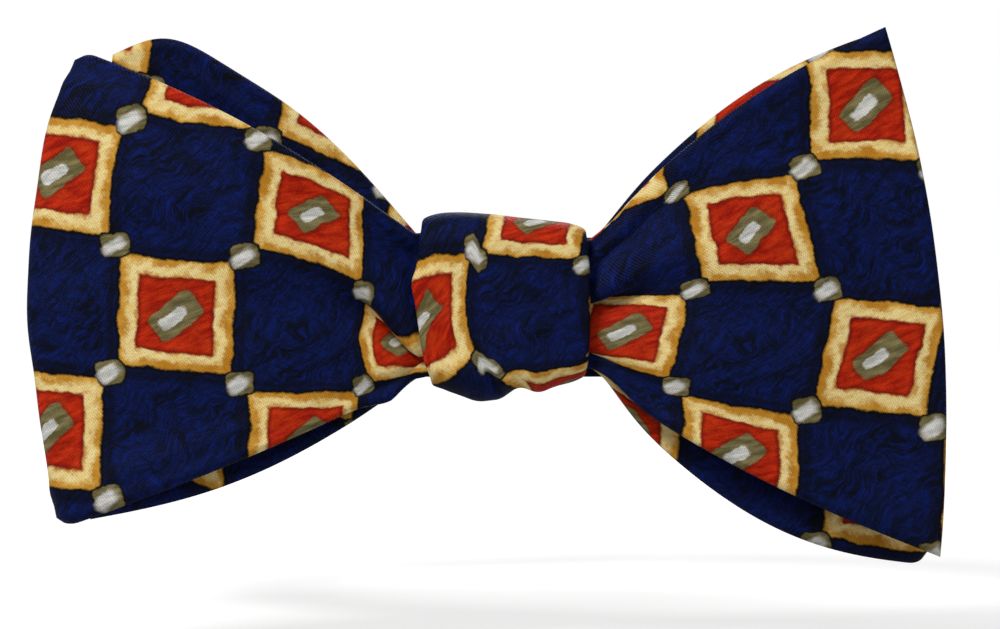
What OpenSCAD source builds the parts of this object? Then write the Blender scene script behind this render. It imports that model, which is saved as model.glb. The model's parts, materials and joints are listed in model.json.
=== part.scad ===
// A self-tie silk bow tie, tied, as it sits on a neck.
// +Z is up the neck, -Y is the front and +X is the right-hand side seen from the front.
// The origin is the centre of the neck loop, on the neck's axis.

/* [Neck loop] */
// Inner radius of the neck loop
neck_r = 61; // [56:0.5:70]
// Height of the neckband
band_h = 19; // [16:0.5:20]
// Thickness of the neckband: two layers of silk round a canvas core
band_t = 1.4; // [1.2:0.1:1.6]
// Arc of the band that swings open beside the hook, in degrees
flap_arc = 65; // [55:1:75]

/* [Knot] */
// Width of the knot across the bow
knot_w = 23; // [20:0.5:26]
// Height of the knot
knot_h = 24.4; // [23:0.2:27]
// Depth of the knot from front to back
knot_d = 16; // [15:0.5:18]

/* [Wings] */
// Reach of the left wing from the middle of the bow to its top corner
left_reach = 56; // [50:1:62]
// Reach of the right wing from the middle of the bow to its top corner
right_reach = 50.5; // [46:1:56]
// Height of the widest corner above the middle of the bow
wing_rise = 37; // [32:1:42]
// Thickness of one wing layer: face silk, canvas and back silk
leaf_t = 1.4; // [1.2:0.1:1.8]

/* [Clasp] */
// Wire radius of the eye, and of the bars of the hook and the slide
wire_r = 0.5; // [0.4:0.05:0.6]
// Sheet thickness of the hook
hook_t = 0.8; // [0.6:0.1:1]
// Angle of the slide buckle round the neck, from the right-hand side, in degrees
slide_angle = 42; // [36:1:48]

/* [Hidden] */
navy = "midnightblue";
canvas = "wheat";
metal = "silver";
gap = 0.05;              // air left between layers of cloth that lie on each other
silk_t = 0.3;            // thickness of one layer of silk
round_fn = 96;
wire_fn = 32;

// Angles run counter-clockwise seen from above: 0 is the right-hand side,
// 90 the back of the neck and 270 the front.
front = 270;
back = 90;
hinge_angle = back + flap_arc;       // where the flap bends away from the left band
hook_angle = back + 9;               // the strap bar of the hook
eye_angle = back - 8;                // the strap bar of the eye
band_end = 357;                      // where the right half of the band ends
strap_start = 349;                   // where the strap sewn over that end starts
strap_play = 0.3;        // air between a strap and the bar it turns round
raised_r = neck_r + band_t + gap;                  // inside of the right strap
bar_r = raised_r + band_t + strap_play + wire_r;   // radius to the eye's strap bar
tail_r = bar_r + wire_r + strap_play;              // inside of the folded-back tail
hook_bar_r = neck_r + band_t + strap_play + wire_r;    // radius to the hook's strap bar
fold_r = hook_bar_r + wire_r + strap_play;             // inside of the flap's folded end
strap_room = 0.6;                    // play between the strap's edge and a buckle's side

// The knot and the wings are placed by depth in front of the knot's middle.
knot_y = -(neck_r + band_t + 1.6 + knot_d / 2);
wrap_t = 2 * silk_t + 0.9 + 2 * gap; // thickness of the cloth wrapped round the knot
root_x = knot_w / 2 + 0.2;           // where a wing starts to fan out
root_half = knot_h / 2 - wrap_t - 0.7;
stem_r = 5;
stem_clear = 0.4;
waist_half = knot_w / 2 - 3.1;

// ---- Small helpers ----

function mix(a, b, t) = a + (b - a) * t;

function clamp01(t) = min(1, max(0, t));

// One coordinate of a Catmull-Rom curve between b and c.
function catmull(a, b, c, d, t) =
    0.5 * (2 * b + (c - a) * t + (2 * a - 5 * b + 4 * c - d) * t * t
        + (3 * b - a - 3 * c + d) * t * t * t);

// A point at s, from 0 to 1, on the smooth curve through a list of points.
function curve(points, s) =
    let (n = len(points) - 1,
        i = min(n - 1, floor(clamp01(s) * n)),
        t = clamp01(s) * n - i,
        a = points[max(0, i - 1)],
        d = points[min(n, i + 2)])
    catmull(a, points[i], points[i + 1], d, t);

// ---- Wings ----
// A leaf is [side, top corner, bottom corner, top belly, bottom belly,
// bulge of the outer edge, plan], where the plan runs along the cloth and each of
// its points is [share of the reach, depth in front of the knot's middle].

loop_plan_front = [[-0.05, 3.6], [0.12, 4.9], [0.34, 6.9], [0.6, 7.6], [0.82, 6.9],
    [0.96, 5.2], [1, 2.7], [0.96, 0.3], [0.82, -0.7], [0.6, -0.9], [0.34, -0.4],
    [0.12, 0.2], [-0.05, 0.4]];
end_plan_front = [[-0.05, 4.0], [0.12, 5.2], [0.34, 7.0], [0.6, 6.8], [0.82, 5.6], [1, 5.4]];
loop_plan_back = [[-0.05, 0.4], [0.12, 0.8], [0.34, 1.7], [0.6, 2.1], [0.82, 1.6],
    [0.96, 0.1], [1, -2.4], [0.96, -4.9], [0.82, -5.9], [0.6, -6.2], [0.34, -5.6],
    [0.12, -4.4], [-0.05, -3.6]];
end_plan_back = [[-0.05, -3.6], [0.12, -4.2], [0.34, -5.2], [0.6, -5.6], [0.82, -5.2], [1, -5.0]];

left_loop = [-1, [left_reach, wing_rise - 3], [left_reach + 2, -29.2],
    0.09, 0.04, 5.4, loop_plan_front];
left_end = [-1, [left_reach - 3.4, wing_rise - 2.6], [left_reach - 0.4, -28.6],
    0.34, 0.18, 1.5, end_plan_back];
right_end = [1, [right_reach, wing_rise], [right_reach + 7.2, -33],
    0.11, 0.07, 3.6, end_plan_front];
right_loop = [1, [right_reach - 1.4, wing_rise - 0.6], [right_reach + 6, -34.4],
    0.15, 0.25, 1.6, loop_plan_back];

// Share of a leaf's reach, from the knot, along which its edges stay level.
root_share = 0.03;

// One edge of a leaf in its own plane, at share u of the reach.
function edge_point(corner, belly, u) =
    let (half = sign(corner[1]) * root_half,
        out = max(0, u - root_share) / (1 - root_share))
    [mix(root_x, corner[0], u),
        mix(half, corner[1], out + belly * sin(180 * out))];

// A point on the middle of a leaf: s runs along the cloth and v up across it.
function leaf_point(leaf, s, v) =
    let (plan = curve(leaf[6], s),
        u = plan[0],
        top = edge_point(leaf[1], leaf[3], u),
        bottom = edge_point(leaf[2], leaf[4], u),
        bulge = leaf[5] * pow(max(0, u), 3) * 4 * v * (1 - v))
    [leaf[0] * (mix(bottom[0], top[0], v) + bulge),
        knot_y - plan[1],
        mix(bottom[1], top[1], v)];

// The leaf's unit normal, which points to the front on a leaf's first stretch.
function leaf_normal(leaf, s, v) =
    let (e = 0.002,
        along = leaf_point(leaf, min(1, s + e), v) - leaf_point(leaf, max(0, s - e), v),
        up = leaf_point(leaf, s, min(1, v + e)) - leaf_point(leaf, s, max(0, v - e)),
        n = cross(along, up) * -leaf[0])
    -n / norm(n);

// One layer of a leaf, from height low to height high above its middle, with its
// outline drawn in by edge at the top and bottom and by tip at the outer end.
module leaf_layer(leaf, steps, low, high, edge = 0, tip = 0) {
    rows = 8;
    across = rows + 1;
    count = (steps + 1) * across;
    points = [for (w = [low, high]) for (i = [0:steps]) for (j = [0:rows])
        let (s = i / steps * (1 - tip), v = mix(edge, 1 - edge, j / rows))
        leaf_point(leaf, s, v) + w * leaf_normal(leaf, s, v)];
    flat = [for (i = [0:steps - 1]) for (j = [0:rows - 1])
        let (a = i * across + j, b = a + 1, c = a + across + 1, d = a + across)
        each [[a, b, c], [a, c, d]]];
    rim = [for (i = [0:steps - 1]) each let (a = i * across, b = a + across,
            c = a + rows, d = b + rows)
            [[a, b, b + count], [a, b + count, a + count],
            [c, d + count, d], [c, c + count, d + count]],
        for (j = [0:rows - 1]) each let (a = j, b = j + 1,
            c = steps * across + j, d = c + 1)
            [[a, b + count, b], [a, a + count, b + count],
            [c, d, d + count], [c, d + count, c + count]]];
    lifted = [for (f = flat) [f[0] + count, f[2] + count, f[1] + count]];
    faces = concat(flat, lifted, rim);
    polyhedron(points, leaf[0] > 0 ? faces : [for (f = faces) [f[0], f[2], f[1]]],
        convexity = 6);
}

loop_steps = 24;
end_steps = 10;
core_half = leaf_t / 2 - silk_t - gap;

module leaf_face(leaf, steps) {
    leaf_layer(leaf, steps, leaf_t / 2 - silk_t, leaf_t / 2);
}

module leaf_interlining(leaf, steps, tip) {
    leaf_layer(leaf, steps, -core_half, core_half, edge = 0.02, tip = tip);
}

module leaf_backing(leaf, steps) {
    leaf_layer(leaf, steps, -leaf_t / 2, -leaf_t / 2 + silk_t);
}

module left_loop_face() {
    color(navy) leaf_face(left_loop, loop_steps);
}

module left_loop_interlining() {
    color(canvas) leaf_interlining(left_loop, loop_steps, 0);
}

module left_loop_backing() {
    color(navy) leaf_backing(left_loop, loop_steps);
}

module left_end_face() {
    color(navy) leaf_face(left_end, end_steps);
}

module left_end_interlining() {
    color(canvas) leaf_interlining(left_end, end_steps, 0.03);
}

module left_end_backing() {
    color(navy) leaf_backing(left_end, end_steps);
}

module right_end_face() {
    color(navy) leaf_face(right_end, end_steps);
}

module right_end_interlining() {
    color(canvas) leaf_interlining(right_end, end_steps, 0.03);
}

module right_end_backing() {
    color(navy) leaf_backing(right_end, end_steps);
}

module right_loop_face() {
    color(navy) leaf_face(right_loop, loop_steps);
}

module right_loop_interlining() {
    color(canvas) leaf_interlining(right_loop, loop_steps, 0);
}

module right_loop_backing() {
    color(navy) leaf_backing(right_loop, loop_steps);
}

// ---- Knot ----

// The knot's side outline, drawn in by inset: a rectangle with rounded corners.
function knot_outline(inset) =
    let (r = 4.2 - inset, steps = 6,
        w = knot_d / 2 - inset - r, h = knot_h / 2 - inset - r)
    [for (corner = [0:3]) for (k = [0:steps])
        let (a = corner * 90 + k * 90 / steps)
        [(corner == 0 || corner == 3 ? w : -w) + r * cos(a),
            (corner < 2 ? h : -h) + r * sin(a)]];

// Draws a shape given in depth and height at the knot, right across its width.
module across_knot(width) {
    translate([0, knot_y, 0])
        rotate([90, 0, 90])
            linear_extrude(height = width, center = true) children();
}

// One layer of the cloth wrapped round the knot, with the stem's hole in its back.
module knot_layer(outer, inner, width) {
    difference() {
        across_knot(width) difference() {
            polygon(knot_outline(outer));
            polygon(knot_outline(inner));
        }
        translate([0, knot_y, 0]) rotate([-90, 0, 0])
            cylinder(r = stem_r + stem_clear, h = knot_d, $fn = round_fn);
    }
}

module knot_face() {
    color(navy) knot_layer(0, silk_t, knot_w);
}

module knot_interlining() {
    color(canvas) knot_layer(silk_t + gap, wrap_t - silk_t - gap, knot_w - 1);
}

module knot_backing() {
    color(navy) knot_layer(wrap_t - silk_t, wrap_t, knot_w);
}

// The gathered middle of a blade: cloth pressed into pleats inside the knot.
module waist(middle, thickness, pleat) {
    pleats = 3;
    steps = 36;
    half = root_half - 0.4;
    side = [for (k = [0:steps]) mix(-half, half, k / steps)];
    wave = [for (z = side) middle + pleat * sin(180 * pleats * z / half)];
    outline = concat(
        [for (k = [0:steps]) [-(wave[k] + thickness / 2), side[k]]],
        [for (k = [steps:-1:0]) [-(wave[k] - thickness / 2), side[k]]]);
    across_knot(2 * waist_half) polygon(outline);
}

module front_waist() {
    color(navy) waist(4, 2.2, 0.5);
}

module middle_waist() {
    color(navy) waist(0.6, 2, 0.4);
}

module back_waist() {
    color(navy) waist(-2.8, 2, 0.4);
}

// Both halves of the neckband, gathered where they pass into the knot.
module knot_stem() {
    stem_len = knot_y + knot_d / 2 - 2.8 + neck_r + band_t + gap;
    color(navy) translate([0, -(neck_r + band_t + gap), 0])
        rotate([90, 0, 0]) cylinder(r = stem_r, h = -stem_len, $fn = round_fn);
}

// ---- Neckband ----

// A stretch of band from angle a to angle b, of any radius, thickness and height.
module band_arc(r, t, h, a, b) {
    rotate([0, 0, a])
        rotate_extrude(angle = b - a, $fn = round_fn * 2)
            translate([r, -h / 2]) square([t, h]);
}

core_t = band_t - 2 * silk_t;
core_h = band_h - 2 * silk_t;
core_in = 0.55;          // depth of the canvas below the tube's inner side

// A flat tube of silk, open at its ends.
module silk_tube(r, a, b, overrun = 1) {
    difference() {
        band_arc(r, band_t, band_h, a, b);
        band_arc(r + silk_t, core_t, core_h, a - overrun, b + overrun);
    }
}

// The canvas inside such a tube, lying against the tube's outer side.
module band_core(r, a, b) {
    band_arc(r + core_in, band_t - silk_t - gap - core_in, core_h - 2 * gap, a, b);
}

module left_band_silk() {
    color(navy) silk_tube(neck_r, hinge_angle + 0.3, front - 0.1);
}

module left_band_interlining() {
    color(canvas) band_core(neck_r, hinge_angle + 1.5, front - 1);
}

// Places children at an angle round the neck, with X along the band away from the
// hook, Y straight out from the neck and the neck's axis at the origin.
module at_angle(a) {
    rotate([0, 0, a - 90]) children();
}

// A strap that runs from angle b to angle a, turns outward round a bar there and is
// folded back over itself by some degrees. Its inner layer starts at radius low and
// its folded-back layer at radius fold.
module looped_strap(low, fold, a, b, fold_back) {
    outer = (fold + band_t - low) / 2;
    band_arc(low, band_t, band_h, a, b);
    band_arc(fold, band_t, band_h, a, a + fold_back);
    at_angle(a) translate([0, low + outer, 0])
        linear_extrude(height = band_h, center = true)
            intersection() {
                difference() {
                    circle(r = outer, $fn = round_fn);
                    circle(r = outer - band_t, $fn = round_fn);
                }
                translate([0, -outer]) square([outer, 2 * outer]);
            }
}

module right_band_silk() {
    color(navy) silk_tube(neck_r, front + 0.1, band_end);
}

module right_band_interlining() {
    color(canvas) band_core(neck_r, front + 1, band_end - 1);
}

// The strap of folded silk that laps over the right half's end and is sewn to it. It
// passes over the slide's outer bars and turns round the eye's strap bar.
module right_strap() {
    color(navy) mirror([1, 0, 0])
        looped_strap(raised_r, tail_r, 180 - eye_angle, 540 - strap_start, fold_back = 5);
}

// The flap of the left half: its end turns round the hook's strap bar and is sewn
// down on itself.
module flap_silk() {
    color(navy) difference() {
        looped_strap(neck_r, fold_r, hook_angle, hinge_angle - 0.3, fold_back = 9);
        band_arc(neck_r + silk_t, core_t, core_h, hook_angle + 12, hinge_angle + 1);
    }
}

module flap_interlining() {
    color(canvas) band_core(neck_r, hook_angle + 13, hinge_angle - 1.5);
}

// A row of bar-tack stitches that lie on a strap's outer face.
module bar_tack(r, a) {
    stitches = 9;
    pitch = (band_h - 4) / (stitches - 1);
    for (k = [0:stitches - 1]) at_angle(a)
        translate([0, r + gap + 0.15, (k - (stitches - 1) / 2) * pitch])
            rotate([0, 90, 0]) cylinder(r = 0.15, h = 2.2, center = true, $fn = 16);
}

module hook_tack() {
    color("navy") bar_tack(fold_r + band_t, hook_angle + 6.5);
}

module tail_tack() {
    color("navy") bar_tack(tail_r + band_t, slide_angle + 6);
}

module strap_tack() {
    color("navy") bar_tack(raised_r + band_t, strap_start + 3);
}

// The blank cloth label on the outside of the left half.
module blank_label() {
    color("ivory") band_arc(neck_r + band_t + gap, 0.4, 12, 200, 222);
}

// ---- Clasp ----

// The hook and the eye lie in a straight line between their two strap bars.
buckle_half = band_h / 2 + strap_room;     // half the room for the strap
eye_len = 9;                               // between the middles of the eye's long bars
hook_bar = [hook_bar_r * cos(hook_angle), hook_bar_r * sin(hook_angle)];
eye_bar = [bar_r * cos(eye_angle), bar_r * sin(eye_angle)];
lip_x = eye_bar[0] - eye_len + wire_r + 2.6 - hook_bar[0];
hook_rise = eye_bar[1] + wire_r + 0.35 - hook_bar[1];

// The side view of the hook about its strap bar: a joggle out over the eye's bar,
// a flat tongue and a lip that points in through the eye.
module hook_profile(from, to) {
    low = -hook_t / 2;
    intersection() {
        polygon([[0, low], [3.2, low], [5.4, hook_rise], [lip_x, hook_rise],
            [lip_x + 0.1, hook_rise - 2.2], [lip_x + 0.9, hook_rise - 2.2],
            [lip_x + 1, hook_rise + 0.3], [lip_x + 0.5, hook_rise + hook_t],
            [5, hook_rise + hook_t], [2.8, low + hook_t], [0, low + hook_t]]);
        translate([from, -band_h]) square([to - from, 2 * band_h]);
    }
}

module hook() {
    rail = 1.6;
    tongue_half = 4.5;
    color(metal) translate([hook_bar[0], hook_bar[1], 0]) {
        cylinder(r = wire_r, h = 2 * (buckle_half + rail / 2), center = true, $fn = wire_fn);
        for (side = [-1, 1]) translate([0, 0, side * (buckle_half + rail / 2)])
            linear_extrude(height = rail, center = true) hook_profile(0, 4);
        linear_extrude(height = 2 * (buckle_half + rail), center = true)
            hook_profile(3.8, 6.8);
        linear_extrude(height = 2 * tongue_half, center = true)
            hook_profile(6.6, lip_x + 2);
    }
}

// The eye: a closed rectangle of round wire.
module eye_ring() {
    half = buckle_half + wire_r;
    color(metal) translate([eye_bar[0], eye_bar[1], 0]) {
        for (x = [0, -eye_len]) {
            translate([x, 0, 0])
                cylinder(r = wire_r, h = 2 * half, center = true, $fn = wire_fn);
            for (z = [-half, half]) translate([x, 0, z]) sphere(r = wire_r, $fn = wire_fn);
        }
        for (z = [-half, half]) translate([-eye_len / 2, 0, z])
            rotate([0, 90, 0])
                cylinder(r = wire_r, h = eye_len, center = true, $fn = wire_fn);
    }
}

slide_half = 5;                        // from the slide's middle bar to each outer bar
slide_bar_r = tail_r + band_t / 2;     // radius to the middle bar, inside the tail's hem
slide_low = neck_r + 0.3;              // distance out to the outer bars, under the strap

// The outline of the slide's cheek: two sloping arms that meet at the middle bar.
module slide_cheek() {
    foot = slide_half + 0.45;
    polygon([[-foot, slide_low - 0.35], [1 - foot, slide_low - 0.35],
        [0, slide_bar_r - 0.9], [foot - 1, slide_low - 0.35],
        [foot, slide_low - 0.35], [foot, slide_low + 0.4],
        [0.6, slide_bar_r + 0.5], [-0.6, slide_bar_r + 0.5], [-foot, slide_low + 0.4]]);
}

// The slide: two outer bars under the strap and a middle bar over it, joined by a
// cheek at each side of the strap.
module slide_buckle() {
    cheek_t = 1;
    reach = 2 * buckle_half + cheek_t;
    color(metal) at_angle(slide_angle) {
        for (x = [-slide_half, slide_half]) translate([x, slide_low, 0])
            cylinder(r = 0.3, h = reach, center = true, $fn = wire_fn);
        translate([0, slide_bar_r, 0])
            cylinder(r = wire_r - 0.1, h = reach, center = true, $fn = wire_fn);
        for (side = [-1, 1]) translate([0, 0, side * (buckle_half + cheek_t / 2)])
            linear_extrude(height = cheek_t, center = true) slide_cheek();
    }
}

// The tail of the right half, folded back from the eye, with a hem round the
// slide's middle bar.
module band_tail() {
    hem = 1.25;
    color(navy) {
        difference() {
            union() {
                band_arc(tail_r, band_t, band_h, slide_angle, eye_angle - 5.3);
                at_angle(slide_angle) translate([0, slide_bar_r, 0])
                    cylinder(r = hem, h = band_h, center = true, $fn = round_fn);
            }
            at_angle(slide_angle) translate([0, slide_bar_r, 0])
                cylinder(r = wire_r + gap, h = 2 * band_h, center = true, $fn = wire_fn);
        }
    }
}

left_band_silk();
left_band_interlining();
right_band_silk();
right_band_interlining();
right_strap();
strap_tack();
knot_stem();
blank_label();
flap_silk();
flap_interlining();
hook_tack();
hook();
eye_ring();
slide_buckle();
band_tail();
tail_tack();
knot_face();
knot_interlining();
knot_backing();
front_waist();
middle_waist();
back_waist();
left_loop_face();
left_loop_interlining();
left_loop_backing();
left_end_face();
left_end_interlining();
left_end_backing();
right_end_face();
right_end_interlining();
right_end_backing();
right_loop_face();
right_loop_interlining();
right_loop_backing();
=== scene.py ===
"""A tied self-tie silk bow tie on its adjustable neckband."""

import json
import math

import bmesh
import bpy
import numpy as np
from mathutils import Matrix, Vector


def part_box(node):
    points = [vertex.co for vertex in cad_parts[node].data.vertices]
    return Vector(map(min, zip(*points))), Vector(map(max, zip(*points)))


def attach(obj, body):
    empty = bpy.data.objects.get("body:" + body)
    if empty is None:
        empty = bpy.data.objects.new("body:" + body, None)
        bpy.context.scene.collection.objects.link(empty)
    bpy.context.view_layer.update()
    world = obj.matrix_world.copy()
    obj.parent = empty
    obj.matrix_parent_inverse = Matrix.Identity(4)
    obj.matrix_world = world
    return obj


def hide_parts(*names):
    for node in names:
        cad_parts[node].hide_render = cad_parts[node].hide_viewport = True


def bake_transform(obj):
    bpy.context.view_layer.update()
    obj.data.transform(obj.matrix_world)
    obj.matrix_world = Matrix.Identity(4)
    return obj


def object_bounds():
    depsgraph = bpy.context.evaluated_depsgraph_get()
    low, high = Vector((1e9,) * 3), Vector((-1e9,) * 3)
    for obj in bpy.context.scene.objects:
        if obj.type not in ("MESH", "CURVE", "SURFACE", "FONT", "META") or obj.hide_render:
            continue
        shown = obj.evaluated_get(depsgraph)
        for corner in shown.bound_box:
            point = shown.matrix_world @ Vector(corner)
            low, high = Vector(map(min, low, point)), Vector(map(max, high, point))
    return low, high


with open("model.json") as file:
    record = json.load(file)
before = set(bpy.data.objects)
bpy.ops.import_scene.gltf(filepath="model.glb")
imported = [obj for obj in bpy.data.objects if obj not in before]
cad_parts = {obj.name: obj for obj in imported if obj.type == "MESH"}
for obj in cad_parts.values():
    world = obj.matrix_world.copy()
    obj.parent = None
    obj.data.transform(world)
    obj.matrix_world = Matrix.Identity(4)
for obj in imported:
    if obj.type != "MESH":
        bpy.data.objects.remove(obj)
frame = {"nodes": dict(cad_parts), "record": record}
CAD_BOX = [list(corner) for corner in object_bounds()]

MM = 0.001

# ---- Sizes, in millimetres, worked out from the frame ----

low, high = ([c / MM for c in corner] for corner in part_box("knot_face"))
KNOT_W = high[0] - low[0]
KNOT_H = high[2] - low[2]
KNOT_D = high[1] - low[1]
KNOT_Y = (high[1] + low[1]) / 2
NECK_R = frame["record"]["mounts"][0]["dims"]["r_mm"]
BAND_H = frame["record"]["mounts"][0]["dims"]["length_mm"]
BAND_T = 1.4  # thickness of the neckband
SILK = 0.3  # thickness of the silk
LEAF_T = 1.4  # thickness of a wing's layers together
WRAP_T = 1.6  # thickness of the knot's layers together
WINDOW_R = 5.4  # radius of the hole in the knot's back
KNOT_ROUND = 4.2  # how round the knot's corners are, seen from the side
ROOT_X = KNOT_W / 2 + 0.2  # where the wings leave the knot
ROOT_HALF = KNOT_H / 2 - WRAP_T - 0.7  # half their height there
GAP = 0.05  # room between layers

PITCH = 17.2  # one cell of the printed check
RIB = 0.5  # one rib of the silk's twill


# ---- Curves ----


def hill(value, place, width):
    """1 where value is at a place, falling smoothly to 0 on both sides."""
    return np.exp(-(((value - place) / width) ** 2))


def ebb(value, place, soft):
    """1 where value is below a place, falling to 0 above it."""
    return 1 / (1 + np.exp((value - place) / soft))


def curve(points, s):
    """The smooth curve through some values, at shares s from 0 to 1."""
    points = np.asarray(points, dtype=float)
    n = len(points) - 1
    where = np.clip(s, 0, 1) * n
    i = np.minimum(n - 1, where.astype(int))
    t = (where - i)[..., None]
    a, b = points[np.maximum(i - 1, 0)], points[i]
    c, d = points[i + 1], points[np.minimum(i + 2, n)]
    return 0.5 * (
        2 * b + (c - a) * t + (2 * a - 5 * b + 4 * c - d) * t**2
        + (3 * b - a - 3 * c + d) * t**3
    )


def smooth_steps(x, places, values, blur):
    """Values between places on a line, with the corners rounded over blur."""
    shifts = np.linspace(-blur, blur, 7)
    return np.mean([np.interp(x + shift, places, values) for shift in shifts], axis=0)


# ---- Meshes ----


def turn_outwards(mesh):
    """Makes every face look out of the closed mesh it bounds."""
    work = bmesh.new()
    work.from_mesh(mesh)
    bmesh.ops.recalc_face_normals(work, faces=work.faces)
    work.to_mesh(mesh)
    work.free()


def make_mesh(name, points, faces, uv=None):
    """An object from points in millimetres, with one UV pair for each point."""
    mesh = bpy.data.meshes.new(name)
    mesh.from_pydata((np.asarray(points) * MM).tolist(), [], faces)
    turn_outwards(mesh)
    if uv is not None:
        layer = mesh.uv_layers.new(name="UVMap")
        corner = np.empty(len(mesh.loops), dtype=np.int32)
        mesh.loops.foreach_get("vertex_index", corner)
        layer.data.foreach_set("uv", np.asarray(uv, dtype=np.float32)[corner].ravel())
    mesh.polygons.foreach_set("use_smooth", [True] * len(mesh.polygons))
    mesh.update()
    obj = bpy.data.objects.new(name, mesh)
    bpy.context.collection.objects.link(obj)
    return obj


def quads(rows, columns, start, closed=False):
    """Faces of a grid whose points are stored row by row from start on."""
    faces = []
    for i in range(rows - 1):
        for j in range(columns if closed else columns - 1):
            a = start + i * columns + j
            b = start + i * columns + (j + 1) % columns
            faces.append((a, b, b + columns, a + columns))
    return faces


def shell(name, outer, inner, uv, closed=False):
    """A closed skin between two grids of points. closed joins the last column to the
    first, as round a tube."""
    rows, columns = outer.shape[:2]
    count = rows * columns
    points = np.concatenate([outer.reshape(-1, 3), inner.reshape(-1, 3)])
    faces = quads(rows, columns, 0, closed) + quads(rows, columns, count, closed)
    rims = [[i * columns + j for j in range(columns)] for i in (0, rows - 1)]
    if closed:
        rims = [line + line[:1] for line in rims]
    else:
        rims += [[i * columns + j for i in range(rows)] for j in (0, columns - 1)]
    for line in rims:
        faces += [(a, a + count, b + count, b) for a, b in zip(line, line[1:])]
    uv = np.asarray(uv).reshape(-1, 2)
    return make_mesh(name, points, faces, np.concatenate([uv, uv]))


# ---- Wings ----

# Each plan is a wing's middle line seen from above: the share of its reach, and how far in
# front of the knot's middle it lies. They repeat the ones in the CAD model.
LOOP_PLAN_FRONT = [
    (-0.05, 3.6), (0.12, 4.9), (0.34, 6.9), (0.6, 7.6), (0.82, 6.9), (0.96, 5.2), (1, 2.7),
    (0.96, 0.3), (0.82, -0.7), (0.6, -0.9), (0.34, -0.4), (0.12, 0.2), (-0.05, 0.4),
]
END_PLAN_FRONT = [(-0.05, 4.0), (0.12, 5.2), (0.34, 7.0), (0.6, 6.8), (0.82, 5.6), (1, 5.4)]
LOOP_PLAN_BACK = [
    (-0.05, 0.4), (0.12, 0.8), (0.34, 1.7), (0.6, 2.1), (0.82, 1.6), (0.96, 0.1), (1, -2.4),
    (0.96, -4.9), (0.82, -5.9), (0.6, -6.2), (0.34, -5.6), (0.12, -4.4), (-0.05, -3.6),
]
END_PLAN_BACK = [
    (-0.05, -3.6), (0.12, -4.2), (0.34, -5.2), (0.6, -5.6), (0.82, -5.2), (1, -5.0)
]

# top, bottom: the outer corners, as x and z. belly: how far the edges between them and the
# knot curve. bulge: how far the outer edge curves. turn: whether the leaf folds back as a loop.
# A pleat: height at the knot, slope, depth, width at the knot, reach, and how far its
# upper lip hangs down over the valley.
# Shape only: crest lifts the top edge near its corner, and sag lowers the bottom edge by the knot.
# Print only: origin is where a line of the lattice crosses, in millimetres and cells. middle is
# the height of its middle line, and its slope. gather is how much more cloth lies in each
# millimetre at the knot, and how far out that lasts. lean, pull, rise and pouch move the print
# sideways with height, outwards by the knot, up near the top, and outwards in the crease.
LEAVES = {
    "left_loop": dict(
        side=-1, top=(56, 34), bottom=(58, -29.2), belly=(0.09, 0.04), bulge=5.4,
        plan=LOOP_PLAN_FRONT, turn=True,
        pleats=[(-4.4, 0.6, 3.2, 2.3, 9.5, 4.4), (6.4, 0.5, 0.9, 1.8, 14, 0.3),
                (-8.6, -0.45, 0.8, 1.4, 9, 0.2)],
        origin=(-52.3, 0), middle=(-4.9, 0.12), gather=(0.66, 12), pull=2.6, sag=1.3,
        rise=1.5, pouch=2.2, lean=[(-30, 0.3), (0, 0.4), (7, 1.0), (16, 1.7), (26, 3.5), (34, 6)],
    ),
    "left_end": dict(
        side=-1, top=(52.6, 32.2), bottom=(55.6, -28.6), belly=(0.363, 0.18), bulge=1.5,
        plan=END_PLAN_BACK, turn=False, crest=3.7,
        pleats=[(3.0, 0.5, 1.0, 1.8, 16, 0.2), (-5.0, -0.4, 1.0, 1.8, 12, 0.2)],
        origin=(-31.4, 1), middle=(5.35, 0.44), gather=(0, 12),
        lean=[(-30, -6), (11, -2.4), (36, 2.5)],
    ),
    "right_end": dict(
        side=1, top=(50.5, 37), bottom=(57.7, -33), belly=(0.11, 0.07), bulge=3.6,
        plan=END_PLAN_FRONT, turn=False,
        pleats=[(1.4, 0.08, 2.8, 2.0, 12, 3.0), (5.6, 0.85, 0.9, 1.2, 16, 0.4),
                (8.8, 1.05, 0.6, 1.0, 13, 0.2), (-6.3, -0.55, 0.9, 1.5, 13, 0.4)],
        origin=(24.0, 1), middle=(-2.8, -0.1), gather=(0.93, 11.5),
        lean=[(-34, -1.2), (-12, -1.2), (2.3, 1.9), (16, -1.5), (37, -2.2)],
    ),
    "right_loop": dict(
        side=1, top=(49.1, 36.4), bottom=(56.5, -34.4), belly=(0.15, 0.25), bulge=1.6,
        plan=LOOP_PLAN_BACK, turn=True,
        pleats=[(-3.0, -0.4, 1.0, 1.8, 12, 0.2), (4.0, 0.5, 0.8, 1.8, 12, 0.2)],
        origin=(24.5, 0), middle=(-4.0, -0.1), gather=(0.6, 12), lean=[(-34, 0), (37, 0)],
    ),
}


CREST_AT = 0.834  # share of a wing's reach where its crest stands
SAG_AT = 3  # distance from the knot where the bottom edge sags most
LIP_AT = 1.5  # how many pleat widths the lip stands above its valley
RISE_WITHIN, RISE_ABOVE = 38, 2.5  # where the print rises: x, and height
PULL_WITHIN = 18  # x that the print is pulled outwards within
POUCH_WITHIN, POUCH_AT = 21.5, -4.5  # where the crease pulls the print: x, and height


def edge(corner, belly, u):
    """x and z along one edge of a leaf, at share u of its reach."""
    out = np.maximum(u, 0)
    x = ROOT_X + (corner[0] - ROOT_X) * u
    start = math.copysign(ROOT_HALF, corner[1])
    return x, start + (corner[1] - start) * (out + belly * np.sin(np.pi * out))


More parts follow.
